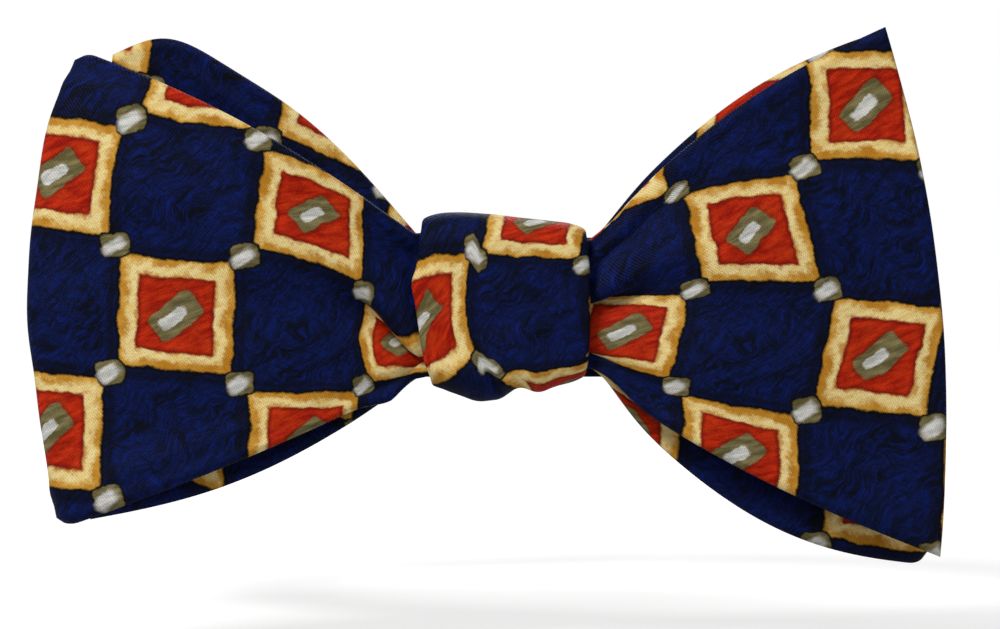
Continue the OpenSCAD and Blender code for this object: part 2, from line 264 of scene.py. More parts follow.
def leaf_base(leaf, s, v):
    """Points on the middle of a smooth leaf, as arrays of x, y and z."""
    plan = curve(leaf["plan"], s)
    u = plan[..., 0]
    x1, z1 = edge(leaf["top"], leaf["belly"][0], u)
    x0, z0 = edge(leaf["bottom"], leaf["belly"][1], u)
    z1 = z1 + leaf.get("crest", 0) * hill(u, CREST_AT, 0.2)
    past = np.abs(x0) - ROOT_X
    z0 = z0 - leaf.get("sag", 0) * hill(past, SAG_AT, SAG_AT) * np.clip(past / SAG_AT, 0, 1)
    worn = 0.8 * np.clip((u - 0.95) / 0.05, 0, 1) ** 2 if leaf["turn"] else 0
    z1, z0 = z1 - worn, z0 + worn
    bulge = leaf["bulge"] * np.maximum(u, 0) ** 3 * 4 * v * (1 - v)
    x = leaf["side"] * (x0 + (x1 - x0) * v + bulge)
    return np.stack([x, KNOT_Y - plan[..., 1], z0 + (z1 - z0) * v], axis=-1)


def normals(grid):
    """Unit normals of a grid of points."""
    n = np.cross(np.gradient(grid, axis=0), np.gradient(grid, axis=1))
    return n / np.maximum(np.linalg.norm(n, axis=-1, keepdims=True), 1e-9)


def folds(leaf, out, z, facing):
    """How far the pleats push the cloth out and down. out is the distance from the
    knot's mouth, and facing is 1 on a layer's front and -1 on its back."""
    push = np.zeros_like(z)
    drop = np.zeros_like(z)
    for height, slope, depth, width, reach, lip in leaf["pleats"]:
        fade = np.exp(-((np.maximum(out, 0) / reach) ** 1.6)) * np.clip(1 + out / 3, 0.35, 1)
        e = (z - height - slope * out) / (width * (1 + np.maximum(out, 0) / 16))
        push -= depth * fade * hill(e, 0, 1) * facing
        push += 0.45 * depth * fade * hill(e, LIP_AT, 1.1) * facing
        near = hill(np.maximum(out, 0), 0, 0.62 * reach)
        drop -= lip * near * hill(e, LIP_AT, 0.75)
    return push, drop


def ripples(leaf, out, z):
    """Soft waves in the cloth that fan out from the knot, and small creases."""
    seed = sum(map(ord, leaf["name"])) % 17
    angle = np.arctan2(z, np.maximum(out, 0) + 16)
    wave = 0.35 * np.sin(7.3 * angle + seed) + 0.22 * np.sin(15.1 * angle - 0.08 * out + seed)
    wave += 0.12 * np.sin(0.33 * out + 0.21 * z + seed) * np.sin(0.17 * out - 0.29 * z)
    return wave * np.clip(out / 8, 0, 1)


def leaf_grid(leaf, rows, columns):
    """Points, normals and print coordinates of a leaf with its pleats."""
    s, v = np.meshgrid(np.linspace(0, 1, rows), np.linspace(0, 1, columns), indexing="ij")
    base = leaf_base(leaf, s, v)
    normal = normals(base) * leaf["side"]
    x, z = base[..., 0], base[..., 2]
    out = np.abs(x) - ROOT_X
    facing = np.where(normal[..., 1] < 0, 1.0, -1.0)
    push, drop = folds(leaf, out, z, facing)
    grid = base + normal * (push + ripples(leaf, out, z))[..., None]
    grid[..., 2] += drop + squeeze(x, z) * hill(np.maximum(out, 0), 0, 5)
    step = np.hypot(np.diff(x, axis=0), np.diff(base[..., 1], axis=0))
    along = np.concatenate([np.zeros((1, columns)), np.cumsum(step, axis=0)]) + out[0, 0]
    amount, reach = leaf["gather"]
    gather = 1 + amount * np.exp(-np.maximum(out, 0) / reach)
    middle = leaf["middle"][0] + leaf["middle"][1] * np.maximum(out, 0)
    inner = ebb(out + ROOT_X, RISE_WITHIN, 1.5)
    middle = middle + leaf.get("rise", 0) * inner * ebb(-z, -RISE_ABOVE, 1.5)
    start, shift = leaf["origin"]
    pull = leaf.get("pull", 0) * ebb(along + ROOT_X, PULL_WITHIN, 1.6)
    pouch = leaf.get("pouch", 0) * hill(z, POUCH_AT, 3.6)
    pouch = pouch * ebb(along + ROOT_X, POUCH_WITHIN, 1.3)
    along = along - pull - pouch
    lean = smooth_steps(z, *zip(*leaf["lean"]), 3)
    uv = np.stack([
        (leaf["side"] * (along + ROOT_X) - lean - start) / PITCH + shift,
        (z - middle) * gather / PITCH - 0.5,
    ], axis=-1)
    return base, grid, normals(grid) * leaf["side"], uv


def rounding(leaf, base, radius=1.0):
    """0 on a leaf's sewn edges, rising to 1 a little way in, and the relief of the seam."""
    width = np.linalg.norm(np.diff(base, axis=1), axis=-1)
    up = np.concatenate([np.zeros((len(base), 1)), np.cumsum(width, axis=1)], axis=1)
    inset = np.minimum(up, up[:, -1:] - up)
    if not leaf["turn"]:
        length = np.linalg.norm(np.diff(base, axis=0), axis=-1)
        along = np.concatenate([np.zeros((1, base.shape[1])), np.cumsum(length, axis=0)])
        inset = np.minimum(inset, along[-1:] - along)
    near = 1 - np.clip(inset / radius, 0, 1)
    allowance, groove = 4.2, 2  # how far in the folded seam's ridge and its groove lie
    seam = 0.14 * hill(inset, allowance, 1.1) - 0.1 * hill(inset, groove, 1)
    return np.sqrt(1 - near**2), seam * np.clip(inset / 2, 0, 1)


def make_leaf(name):
    """The three layers of one wing: two panels of silk with canvas between them."""
    leaf = dict(LEAVES[name], name=name)
    rows, columns = (230, 84) if leaf["turn"] else (120, 84)
    base, grid, normal, uv = leaf_grid(leaf, rows, columns)
    q, seam = rounding(leaf, base)
    hem = 0.04  # half the thickness of a sewn edge
    out = hem + (LEAF_T / 2 + seam) * q
    under = (LEAF_T / 2 - SILK) * q

    def at(offset):
        return grid + normal * offset[..., None]

    face = shell(name + "_face_cloth", at(out), at(under), uv)
    back = shell(name + "_backing_cloth", at(-out), at(-under), uv + 0.4)
    core = np.maximum(under - GAP, 0.02)
    inner = (slice(None, None, 2), slice(2, -2, 2))
    canvas = shell(name + "_canvas", at(core)[inner], at(-core)[inner], uv[inner])
    wing = name + "_wing"
    for piece, node, material in (
        (face, "_face", "printed_silk"),
        (back, "_backing", "printed_silk"),
        (canvas, "_interlining", "interlining"),
    ):
        dress(piece, wing, material, name + node)


# ---- Materials ----


def linear(red, green, blue):
    """A colour given as 0 to 255 on screen, as Blender's linear values."""
    values = [c / 255 for c in (red, green, blue)]
    return tuple(c / 12.92 if c <= 0.04045 else ((c + 0.055) / 1.055) ** 2.4 for c in values) + (1,)


class Shader:
    """Short names for the nodes of one material."""

    def __init__(self, name):
        self.material = bpy.data.materials.new(name)
        self.material.use_nodes = True
        self.tree = self.material.node_tree
        self.bsdf = self.tree.nodes["Principled BSDF"]

    def node(self, kind, **settings):
        """A new node with some settings."""
        made = self.tree.nodes.new(kind)
        for key, value in settings.items():
            setattr(made, key, value)
        return made

    def put(self, socket, value):
        """Links an output to a socket, or sets the socket to a plain value."""
        if isinstance(value, bpy.types.NodeSocket):
            self.tree.links.new(value, socket)
        else:
            socket.default_value = value

    def math(self, operation, *values):
        """The result of a math node."""
        made = self.node("ShaderNodeMath", operation=operation)
        for socket, value in zip(made.inputs, values):
            self.put(socket, value)
        return made.outputs[0]

    def mix(self, share, first, second, blend="MIX"):
        """A share of the second colour over the first."""
        made = self.node("ShaderNodeMix", data_type="RGBA", blend_type=blend)
        self.put(made.inputs[0], share)
        self.put(made.inputs[6], first)
        self.put(made.inputs[7], second)
        return made.outputs[2]

    def below(self, value, limit, soft=0.012):
        """1 where value is under limit, falling to 0 over a soft edge."""
        made = self.node("ShaderNodeMapRange", interpolation_type="SMOOTHSTEP")
        self.put(made.inputs[0], value)
        made.inputs[1].default_value = limit - soft
        made.inputs[2].default_value = limit + soft
        made.inputs[3].default_value = 1
        made.inputs[4].default_value = 0
        return made.outputs[0]

    def spread(self, value, low, high, first=0.0, last=1.0):
        """first where value is low, changing evenly to last where it is high."""
        made = self.node("ShaderNodeMapRange")
        self.put(made.inputs[0], value)
        for socket, number in zip(list(made.inputs)[1:5], (low, high, first, last)):
            socket.default_value = number
        return made.outputs[0]

    def stretch(self, vector, size, turn=0.0):
        """Coordinates for marks of this size along their own axes, turned by an angle."""
        made = self.node("ShaderNodeMapping", vector_type="TEXTURE")
        self.put(made.inputs["Vector"], vector)
        made.inputs["Scale"].default_value = size
        made.inputs["Rotation"].default_value = (0, 0, math.radians(turn))
        return made.outputs[0]

    def noise(self, vector, scale, detail=2.0, rough=0.5, colour=False):
        """Noise as a value, or as a colour for three of them."""
        made = self.node("ShaderNodeTexNoise")
        self.put(made.inputs["Vector"], vector)
        made.inputs["Scale"].default_value = scale
        made.inputs["Detail"].default_value = detail
        made.inputs["Roughness"].default_value = rough
        return made.outputs[1 if colour else 0]

    def bump(self, height, distance, strength=1.0, before=None):
        """A normal bent by a height, on top of an earlier bump."""
        made = self.node("ShaderNodeBump")
        made.inputs["Distance"].default_value = distance
        made.inputs["Strength"].default_value = strength
        self.put(made.inputs["Height"], height)
        if before is not None:
            self.put(made.inputs["Normal"], before)
        return made.outputs[0]

    def set(self, **values):
        """Sets the surface's inputs, with _ for each space in their names."""
        for name, value in values.items():
            self.put(self.bsdf.inputs[name.replace("_", " ")], value)


def twill(k, x, y, threads):
    """Height of a twill weave: diagonal ribs crossed by single threads."""
    rib = k.math("SINE", k.math("MULTIPLY", k.math("ADD", x, y), threads))
    thread = k.math("SINE", k.math("MULTIPLY", k.math("SUBTRACT", x, k.math("MULTIPLY", y, 0.3)),
                                   threads * 1.9))
    return k.math("ADD", rib, k.math("MULTIPLY", thread, 0.5))


def printed_silk():
    """Navy twill silk printed with a check of framed squares and small squares."""
    k = Shader("printed_silk")
    uv = k.node("ShaderNodeUVMap", uv_map="UVMap").outputs[0]
    ink_half, frame_half, red_half = 0.462, 0.433, 0.3

    # Place in the cell, with the drawn lines a little unsteady. Framed squares are the odd cells.
    wobble = k.node("ShaderNodeVectorMath", operation="MULTIPLY_ADD")
    k.put(wobble.inputs[0], k.noise(uv, 3.4, 5, 0.66, colour=True))
    wobble.inputs[1].default_value = (0.12, 0.12, 0)
    k.put(wobble.inputs[2], uv)
    drawn = k.node("ShaderNodeSeparateXYZ")
    k.put(drawn.inputs[0], wobble.outputs[0])
    x, y = (k.math("SUBTRACT", drawn.outputs[i], 0.06) for i in (0, 1))
    cell_x, cell_y = k.math("FLOOR", x), k.math("FLOOR", y)
    odd = k.math("FLOORED_MODULO", k.math("ADD", cell_x, cell_y), 2)
    fx = k.math("SUBTRACT", k.math("SUBTRACT", x, cell_x), 0.5)
    fy = k.math("SUBTRACT", k.math("SUBTRACT", y, cell_y), 0.5)
    m = k.math("SMOOTH_MAX", k.math("ABSOLUTE", fx), k.math("ABSOLUTE", fy), 0.03)

    def block(x, y, turn, width, height, slide=0.0, square=4):
        """Distance measure of a turned, rounded rectangle: under 1 inside it."""
        c, s = math.cos(math.radians(turn)), math.sin(math.radians(turn))
        a = k.math("ADD", k.math("MULTIPLY", x, c), k.math("MULTIPLY", y, s))
        b = k.math("SUBTRACT", k.math("MULTIPLY", y, c), k.math("MULTIPLY", x, s))
        a = k.math("DIVIDE", k.math("ABSOLUTE", k.math("ADD", a, slide)), width)
        b = k.math("DIVIDE", k.math("ABSOLUTE", b), height)
        both = k.math("ADD", k.math("POWER", a, square), k.math("POWER", b, square))
        return k.math("POWER", both, 1 / square)

    # Navy ground: brush strokes both ways in four blues, and a dark line round each square.
    swirl = k.node("ShaderNodeVectorMath", operation="MULTIPLY_ADD")
    k.put(swirl.inputs[0], k.noise(uv, 2.1, 2, 0.5, colour=True))
    swirl.inputs[1].default_value = (0.42, 0.42, 0)
    k.put(swirl.inputs[2], uv)
    bent = swirl.outputs[0]
    strokes = k.noise(k.stretch(bent, (0.15, 0.034, 1), 52), 1.0, 4, 0.75)
    crossed = k.noise(k.stretch(bent, (0.14, 0.034, 1), -32), 1.0, 4, 0.75)
    broad = k.noise(k.stretch(bent, (0.4, 0.16, 1), 35), 1.0, 3, 0.6)
    speck = k.noise(uv, 34, 2, 0.7)
    navy = k.mix(k.spread(broad, 0.4, 0.6), linear(5, 11, 22), linear(9, 22, 66))
    navy = k.mix(k.spread(strokes, 0.46, 0.66, 0, 0.9), navy, linear(12, 32, 112))
    navy = k.mix(k.spread(crossed, 0.5, 0.66, 0, 0.85), navy, linear(6, 10, 24))
    navy = k.mix(k.spread(speck, 0.5, 0.66, 0, 0.4), navy, linear(14, 18, 40))
    shade = k.math("SUBTRACT", 1.0, k.below(m, 0.47, 0.035))
    navy = k.mix(k.math("MULTIPLY", shade, 0.7), navy, linear(8, 9, 18))
    ink = k.mix(k.math("MULTIPLY", odd, k.below(m, ink_half)), navy, linear(8, 8, 12))

    # Colours of the frame, the red inside it, and the small blocks.
    grain = k.noise(k.stretch(uv, (0.2, 0.045, 1), 28), 1.0, 3, 0.6)
    patch = k.noise(uv, 5.0, 3, 0.55)
    toward = k.math("ADD", k.spread(m, 0.438, 0.3), k.spread(patch, 0.3, 0.7, -0.3, 0.3))
    toward = k.math("ADD", toward, k.spread(speck, 0.3, 0.7, -0.12, 0.12))
    ochre = k.mix(k.spread(patch, 0.35, 0.65), linear(190, 128, 34), linear(222, 168, 68))
    cream = k.mix(k.spread(grain, 0.4, 0.7), linear(246, 224, 158), linear(234, 198, 114))
    border = k.mix(k.spread(toward, 0.25, 0.6), ochre, cream)
    border = k.mix(k.spread(toward, 0.85, 1.05, 0, 0.75), border, linear(200, 130, 50))
    red = k.mix(k.spread(grain, 0.36, 0.66), linear(152, 22, 5), linear(212, 52, 14))
    red = k.mix(k.spread(patch, 0.5, 0.75, 0, 0.5), red, linear(204, 66, 18))
    red = k.mix(k.spread(speck, 0.5, 0.7, 0, 0.35), red, linear(120, 20, 8))
    rim = k.math("SUBTRACT", 1.0, k.below(m, 0.275, 0.02))
    red = k.mix(k.math("MULTIPLY", rim, 0.75), red, linear(110, 14, 6))
    stone = k.mix(k.spread(grain, 0.4, 0.68), linear(96, 88, 52), linear(142, 130, 88))
    pearl = k.mix(k.spread(grain, 0.35, 0.7), linear(178, 178, 170), linear(236, 234, 230))

    # The marks, laid over the navy from the largest to the smallest.
    lozenge = block(fx, fy, 45, 0.208, 0.114, square=7)
    core = block(fx, fy, 42, 0.115, 0.047, slide=0.028)
    colour = k.mix(k.math("MULTIPLY", odd, k.below(m, frame_half)), ink, border)
    colour = k.mix(k.math("MULTIPLY", odd, k.below(m, red_half)), colour, red)
    shade = k.math("MULTIPLY", odd, k.below(block(fx, fy, 45, 0.226, 0.134), 1.0, 0.16))
    colour = k.mix(k.math("MULTIPLY", shade, 0.6), colour, linear(84, 26, 10))
    colour = k.mix(k.math("MULTIPLY", odd, k.below(lozenge, 1.0, 0.05)), colour, stone)
    colour = k.mix(k.math("MULTIPLY", odd, k.below(core, 1.0, 0.14)), colour, pearl)
    gx = k.math("SUBTRACT", x, k.math("ROUND", x))
    gy = k.math("SUBTRACT", y, k.math("ROUND", y))
    corner = block(gx, gy, 16, 0.106, 0.096)
    colour = k.mix(k.below(corner, 1.16, 0.07), colour, linear(11, 11, 15))
    colour = k.mix(k.below(corner, 1.0, 0.08), colour, stone)
    colour = k.mix(k.below(block(gx, gy, 42, 0.088, 0.05, 0.018), 1.0, 0.35), colour, pearl)

    # The cloth itself: a twill of half-millimetre ribs with thicker threads here and there.
    plain = k.node("ShaderNodeSeparateXYZ")
    k.put(plain.inputs[0], uv)
    weave = twill(k, plain.outputs[0], plain.outputs[1], 2 * math.pi * PITCH / RIB)
    # Painted shade: the colour is darkened in the twill's grooves, where the weave's height is low.
    colour = k.mix(k.spread(weave, -1.5, 1.5, 0.16, 0.0), colour, linear(8, 8, 14), "MULTIPLY")
    slub = k.noise(k.stretch(uv, (0.25, 0.016, 1)), 1.0, 3, 0.6)
    normal = k.bump(slub, 0.00012, 0.35)
    normal = k.bump(weave, 0.00004, 0.5, normal)
    k.set(Base_Color=colour, Roughness=k.spread(slub, 0.3, 0.7, 0.48, 0.62), Normal=normal,
          Specular_IOR_Level=0.06, Sheen_Weight=0.02, Sheen_Roughness=0.35,
          Sheen_Tint=linear(190, 200, 235), Anisotropic=0.3)
    return k.material


def woven(name, dark, pale, threads, rough=0.85):
    """A plain woven cloth in two tones, with painted shade in its weave's grooves, for parts that
    aren't printed.
    """
    k = Shader(name)
    place = k.node("ShaderNodeTexCoord").outputs["Object"]
    uv = k.node("ShaderNodeSeparateXYZ")
    k.put(uv.inputs[0], k.node("ShaderNodeUVMap", uv_map="UVMap").outputs[0])
    weave = twill(k, uv.outputs[0], uv.outputs[1], threads)
    mottle = k.noise(place, 900, 4)
    colour = k.mix(k.spread(mottle, 0.3, 0.7), linear(*dark), linear(*pale))
    # Painted shade: the colour darkens towards the dark tone in the weave's grooves.
    colour = k.mix(k.spread(weave, -1.5, 1.5, 0.35, 0.0), colour, linear(*dark))
    k.set(Base_Color=colour, Roughness=rough, Normal=k.bump(weave, 0.00008, 0.6),
          Sheen_Weight=0.2, Specular_IOR_Level=0.2)
    return k.material


def polished_metal():
    """Nickel-plated steel with fine scuffs."""
    k = Shader("clasp_metal")
    place = k.node("ShaderNodeTexCoord").outputs["Object"]
    scuff = k.noise(k.stretch(place, (0.001, 0.015, 0.001)), 1.0, 4)
    spots = k.noise(place, 260, 3)
    colour = k.mix(k.spread(spots, 0.4, 0.7), linear(198, 196, 190), linear(222, 221, 218))
    k.set(Base_Color=colour, Metallic=1.0, Roughness=k.spread(scuff, 0.3, 0.7, 0.16, 0.34),
          Normal=k.bump(scuff, 0.00001, 0.3))
    return k.material


MATERIALS = {
    "printed_silk": printed_silk(),
    "interlining": woven("interlining", (196, 184, 150), (232, 224, 200), 170),
    "stitching": woven("stitching", (10, 14, 44), (24, 34, 86), 400, 0.6),
    "label_cloth": woven("label_cloth", (214, 208, 190), (240, 236, 224), 240),
    "clasp_metal": polished_metal(),
}


def dress(piece, body, material, *nodes):
    """Gives a piece its finish and its body, and lets it stand for CAD nodes."""
    piece.data.materials.clear()
    piece.data.materials.append(MATERIALS[material])
    if body:
        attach(piece, body)
    if nodes:
        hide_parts(*nodes)


# ---- Knot ----


def knot_outline(count, inset):
    """Depth and height round the knot, seen from the side, from the middle of its
    front upwards: a rectangle with rounded corners."""
    r = KNOT_ROUND - inset
    w, h = KNOT_D / 2 - inset - r, KNOT_H / 2 - inset - r
    quarter = math.pi / 2 * r
    sides = [h, quarter, 2 * w, quarter, 2 * h, quarter, 2 * w, quarter, h]
    ends = np.cumsum(sides)
    points = []
    for t in np.linspace(0, ends[-1], count, endpoint=False):
        i = int(np.searchsorted(ends, t, side="right"))
        d = t - (ends[i - 1] if i else 0)
        a = d / r if i % 2 else 0
        turn = (i // 2) * math.pi / 2
        starts = [(w + r, 0), (w, h), (w, h + r), (-w, h), (-w - r, h), (-w, -h), (-w, -h - r),
                  (w, -h), (w + r, -h)]
        sx, sz = starts[i]
        if i % 2:
            angle = turn + a
            points.append((sx + r * math.cos(angle), sz + r * math.sin(angle)))
        else:
            points.append((sx - d * math.sin(turn), sz + d * math.cos(turn)))
    return np.array(points), ends[-1]


def squeeze(x, z):
    """How far the tight knot moves the cloth up or down: its top slopes to the right, and
    its bottom has a pouch on the left and waves on the right."""
    top = 0.35 * hill(x, -6, 4) - 1.3 * np.clip((x + 1) / 12, 0, 1)
    places = [-12, -8.5, -6, -3.4, 0, 1.3, 2.4, 4.6, 7.2, 11]
    heights = [0.4, 1.4, 0.6, -0.4, 0.0, 1.3, 1.7, 0.7, 1.8, 2.5]
    bottom = smooth_steps(x, places, heights, 0.9)
    return top * np.clip((z - 5) / 7, 0, 1) + bottom * np.clip((-z - 5) / 7, 0, 1)


def knot_fold(z):
    """x of the line down the knot's front where its middle panel starts."""
    return -4.1 + 0.6 * (np.maximum(z, 0) / 8) ** 2 + 0.034 * np.minimum(z, 0) ** 2


def knot_swell(x, z):
    """How far the knot's front stands out from its plain outline: the step at the fold, a
    pouch at the bottom left, a crown, the groove beside the fold, and soft waves."""
    off = x - knot_fold(z)
    step = ebb(-off, 0, 0.25)
    lower = np.clip((-z - 2) / 5, 0, 1)
    swell = (0.12 + 0.55 * lower) * step * np.exp(-(np.maximum(off, 0) / 9) ** 2)
    swell += 0.6 * np.exp(-(((x + 4.6) / 3.2) ** 2 + ((z + 10) / 2.6) ** 2))
    swell += 0.35 * np.cos(x / 8) - 0.3
    swell -= 0.5 * hill(off, -0.5, 0.5) * lower
    swell += 0.13 * np.sin(0.6 * x + 0.33 * z) + 0.07 * np.sin(0.9 * z - 0.5 * x)
    return swell


def knot_print(off, around):
    """Print coordinates on the knot, from the distance to its fold and the distance round
    it. The lattice changes at the fold."""
    left_v = (around - 8.05) / (14.4 + 0.8 * np.maximum(0, -off)) + 1
    left_v += (left_v - 0.5) * 0.6 * hill(left_v, 0.5, 0.13)
    right_v = (around - 5.9) / 14.2 + 1
    return np.stack([
        np.where(off < 0, off / 13.4, off / 14.6),
        left_v + (right_v - left_v) * np.clip(off / 1.2 + 0.5, 0, 1),
    ], axis=-1)


def knot_layer(name, node, inset, thickness, material, width):
    """One layer of the cloth wrapped round the knot."""
    rows, columns = 120, 240
    outline, girth = knot_outline(columns, inset)
    depth, z = (outline[:, i][None, :] for i in (0, 1))
    around = np.linspace(0, 1, columns, endpoint=False)[None, :] * girth
    around = np.where(around > girth / 2, around - girth, around)
    b = np.linspace(-1, 1, rows)[:, None]
    front = np.clip(depth / (KNOT_D / 2) * 1.4, 0, 1)
    short = (KNOT_W - width) / 2
    left_z = [-12, -10, -8.4, -4.7, 0.5, 3.4, 5.6, 12]
    left_x = [9.4, 9.9, 10.4, 10.9, 11.6, 12.2, 11.4, 10.7]
    left = smooth_steps(z, left_z, left_x, 1.0) - short
    right = width / 2 - 0.5 * np.clip(np.abs(z) / 12, 0, 1) ** 2
    x = np.where(b < 0, b * left, b * right)
    side = np.clip((np.abs(b) - 0.7) / 0.3, 0, 1)
    roll = 1 - np.sqrt(np.maximum(0, 1 - side**2))
    out = depth * (1 - 0.12 * roll) + knot_swell(x, z) * front * (1 - roll)
    up = z * (1 - 0.08 * roll)
    shape = np.stack([x + 0 * z, KNOT_Y - out, up + squeeze(x, z)], axis=-1)
    looped = np.concatenate([shape[:, -1:], shape, shape[:, :1]], axis=1)
    normal = normals(looped)[:, 1:-1]
    outward = shape - np.array([0, KNOT_Y, 0])
    outward[..., 0] = 0
    normal *= np.sign(np.sum(normal * outward, axis=-1, keepdims=True))
    uv = knot_print(x - knot_fold(z), around)
    piece = shell(name, shape, shape - normal * thickness, uv, closed=True)
    cut_round(piece, WINDOW_R)
    dress(piece, "bow", material, node)


def cut_round(piece, radius):
    """Cuts the round window in the knot's back, where the stem passes."""
    bpy.ops.mesh.primitive_cylinder_add(
        vertices=64, radius=radius * MM, depth=KNOT_D * MM, rotation=(math.pi / 2, 0, 0),
        location=(0, (KNOT_Y + KNOT_D / 2) * MM, 0))
    tool = bpy.context.object
    cut = piece.modifiers.new("window", "BOOLEAN")
    cut.operation = "DIFFERENCE"
    cut.object = tool
    cut.solver = "EXACT"
    bpy.context.view_layer.objects.active = piece
    bpy.ops.object.modifier_apply(modifier=cut.name)
    bpy.data.objects.remove(tool, do_unlink=True)


def waist(name, node, middle, thickness, phase):
    """A blade's gathered middle, pressed into pleats inside the knot."""
    half_w, half_h = KNOT_W / 2 - 3.1, ROOT_HALF - 0.4
    x, z = np.meshgrid(np.linspace(-half_w, half_w, 20), np.linspace(-half_h, half_h, 90),
                       indexing="ij")
    wave = 0.32 * np.sin(2.1 * z + phase) + 0.16 * np.sin(4.3 * z + 2 * phase)
    grid = np.stack([x, KNOT_Y - middle - wave, z + squeeze(x, z)], axis=-1)
    near = 1 - np.clip((half_h - np.abs(z)) / 0.8, 0, 1)
    body = (thickness / 2 - 0.1) * np.sqrt(1 - near**2) + 0.05
    push = np.stack([0 * x, body, 0 * x], axis=-1)
    uv = np.stack([x / PITCH, z / PITCH * 1.9], axis=-1)
    piece = shell(name, grid - push, grid + push, uv)
    dress(piece, "bow", "printed_silk", node)


def knot_stem():
    """The two halves of the neckband, gathered where they enter the knot."""
    low, high = ([c / MM for c in corner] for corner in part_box("knot_stem"))
    columns, rows = 120, 24
    a = np.linspace(0, 2 * math.pi, columns, endpoint=False)[None, :]
    t = np.linspace(0, 1, rows)[:, None]
    pleat = 0.16 * np.cos(11 * a) + 0.06 * np.cos(23 * a + 1)
    stem_r = 4.75
    r = stem_r + pleat + 0 * t
    y = low[1] + (high[1] - low[1]) * t + 0 * a

    def ring(share):
        return np.stack([r * share * np.cos(a), y, r * share * np.sin(a)], axis=-1)

    uv = np.stack([t * (high[1] - low[1]) / PITCH + 0 * a, a * 6 / PITCH + 0 * t], axis=-1)
    piece = shell("gathered_stem", ring(1.0), ring(0.25), uv, closed=True)
    dress(piece, "neckband", "printed_silk", "knot_stem")


# ---- Neckband ----


def polar(r, degrees):
    """Points at a radius from the neck's axis, at angles counted from +X."""
    a = np.radians(degrees)
    return np.stack([r * np.cos(a), r * np.sin(a)], axis=-1)


def ribbon(name, path, thickness, height, print_start=(0, 0), soft=0.45, wall=0):
    """A flat strip swept along a path in the XY plane: solid, or hollow with a wall. soft is
    the radius of its edges. Returns the piece and the path's length."""
    path = np.asarray(path)
    tangent = np.gradient(path, axis=0)
    tangent /= np.linalg.norm(tangent, axis=1, keepdims=True)
    normal = np.stack([tangent[:, 1], -tangent[:, 0]], axis=-1)
    along = np.concatenate([[0], np.cumsum(np.linalg.norm(np.diff(path, axis=0), axis=1))])
    half_t, half_h = thickness / 2, height / 2
    flat = np.linspace(-1, 1, 25)
    edge = half_h - soft
    front = [(half_t, z * edge) for z in flat]
    arc = np.linspace(0, math.pi, 9)[1:-1]
    cap = [(half_t * math.cos(a), edge + soft * math.sin(a)) for a in arc]
    section = front + cap + [(-d, z) for d, z in reversed(front)] + [(-d, -z) for d, z in cap]
    section = np.array(section)
    count = len(section)
    ends = np.minimum(along, along[-1] - along)
    ease = np.sqrt(np.clip(1 - (1 - np.clip(ends / 0.4, 0, 1)) ** 2, 0.04, 1))[:, None]
    seam = 0.07 * np.exp(-((np.abs(section[:, 1]) - half_h + 2) ** 2) / 0.5)[None, :]
    depth = (section[:, 0][None, :] - np.sign(section[:, 0])[None, :] * seam) * ease
    flat_xy = path[:, None, :] + normal[:, None, :] * depth[..., None]
    z = section[:, 1][None, :] * (1 - 0.02 * (1 - ease))
    grid = np.concatenate([flat_xy, np.broadcast_to(z[..., None], (*depth.shape, 1))], axis=-1)
    uv = np.stack([
        np.broadcast_to(along[:, None] / PITCH + print_start[0], depth.shape),
        np.broadcast_to(section[:, 1][None, :] / PITCH + print_start[1], depth.shape)
        + 0.5 * (section[:, 0][None, :] < 0),
    ], axis=-1)
    if wall:
        inside = np.ones((len(path), 1))
        inside[[0, -1]] = 0.02
        d = section[:, 0][None, :] * (1 - wall / half_t) * inside
        hollow = path[:, None, :] + normal[:, None, :] * d[..., None]
        z = section[:, 1][None, :] * (1 - wall / half_h) * inside
        inner = np.concatenate([hollow, z[..., None]], axis=-1)
        return shell(name, grid, inner, uv, closed=True), along[-1]
    faces = quads(len(path), count, 0, closed=True)
    faces.append(tuple(range(count)))
    faces.append(tuple((len(path) - 1) * count + j for j in range(count)))
    return make_mesh(name, grid.reshape(-1, 3), faces, uv.reshape(-1, 2)), along[-1]


# Angles round the neck count from +X towards +Y, and the knot is at -90 or 270.
CORE_T = BAND_T - 2 * SILK - 0.1
HOOK_ANGLE, EYE_ANGLE, HINGE_ANGLE = 99, 82, 155
SLIDE_ANGLE, STRAP_START, BAND_END = 42, 349, 357
STRAP_R = NECK_R + BAND_T + GAP
EYE_BAR_R = STRAP_R + BAND_T + 0.8
TAIL_R = EYE_BAR_R + 0.8
HOOK_BAR_R = NECK_R + BAND_T + 0.8
FOLD_R = HOOK_BAR_R + 0.8


def loop_path(low_r, high_r, bar_angle, far_angle, fold_angle):
    """The middle of a strap: along the neck to a bar, round it, and back outside."""
    toward = math.copysign(1, bar_angle - far_angle)
    start = polar(low_r, np.linspace(far_angle, bar_angle, 90))
    middle, half = (low_r + high_r) / 2, (high_r - low_r) / 2
    out = polar(1, np.array([bar_angle]))[0]
    forward = toward * np.array([-out[1], out[0]])
    turn = [
        out * (middle - half * math.cos(a)) + forward * half * math.sin(a)
        for a in np.linspace(0, math.pi, 25)[1:-1]
    ]
    back = polar(high_r, np.linspace(bar_angle, fold_angle, 24))
    return np.concatenate([start, turn, back])


def strip(name, path, nodes, rests_on, width=BAND_H, bend=None, **shape):
    """One layer of the neckband. width is not used. When bend is given, the piece joins no body and
    its place is baked into its points; the body and angles that bend names are not used."""
    piece, length = ribbon(name, path, **shape)
    material = "interlining" if name.endswith("_canvas") else "printed_silk"
    dress(piece, None if bend else "neckband", material, *nodes)
    if bend:
        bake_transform(piece)
    return piece


